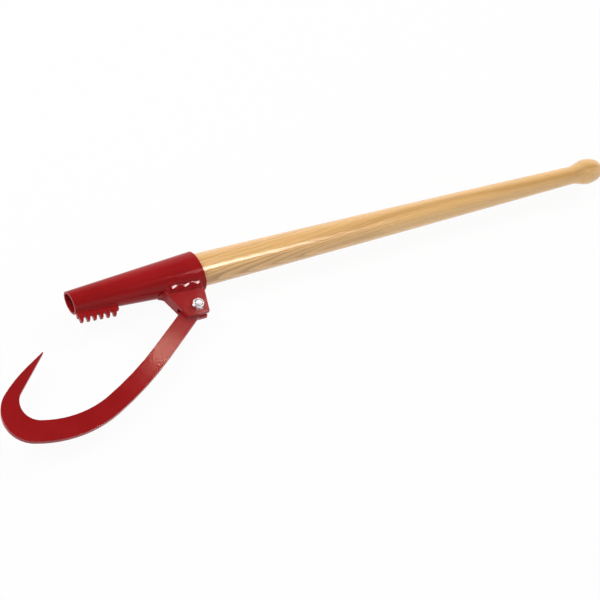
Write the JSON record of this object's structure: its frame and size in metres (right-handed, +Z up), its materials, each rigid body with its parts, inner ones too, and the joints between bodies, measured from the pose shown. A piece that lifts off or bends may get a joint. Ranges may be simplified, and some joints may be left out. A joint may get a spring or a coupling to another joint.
{
  "type": "cant hook",
  "caption": "Log-turning lever: a turned wooden handle in a conical steel socket with a toothed toe and a pivoting pointed steel hook.",
  "frame": {"origin": "middle of the socket's open toe, on the handle's axis", "axes": "+X along the handle from the toe to the knob, -Y towards the hook, +Z up along the pivot bolt, with the tool lying on its side"},
  "size_m": [1.0625, 0.2302, 0.062],
  "materials": {
    "varnished_ash": "clear varnish over turned ash",
    "red_powder_coat": "semi-gloss powder coat",
    "coated_weld": "powder coat over weld bead",
    "zinc_plate": "bright zinc plate",
    "nylon": "natural nylon"
  },
  "bodies": {
    "head_and_handle": {"handle": "varnished_ash", "socket": "red_powder_coat", "toe_rack": "red_powder_coat", "clevis": "red_powder_coat", "pivot_bolt": "zinc_plate", "lock_nut": "zinc_plate", "nut_insert": "nylon", "ear_weld_near": "coated_weld", "ear_weld_far": "coated_weld", "web_weld": "coated_weld", "rack_weld_near": "coated_weld", "rack_weld_far": "coated_weld", "handle_screw": "zinc_plate"},
    "hook": {"hook": "red_powder_coat"}
  },
  "joints": [
    {"name": "hook_pivot", "type": "hinge", "parent": "head_and_handle", "child": "hook", "pos_m": [0.1765, -0.0586, 0], "axis": [0, 0, 1], "range_deg": [-5, 149]}
  ]
}
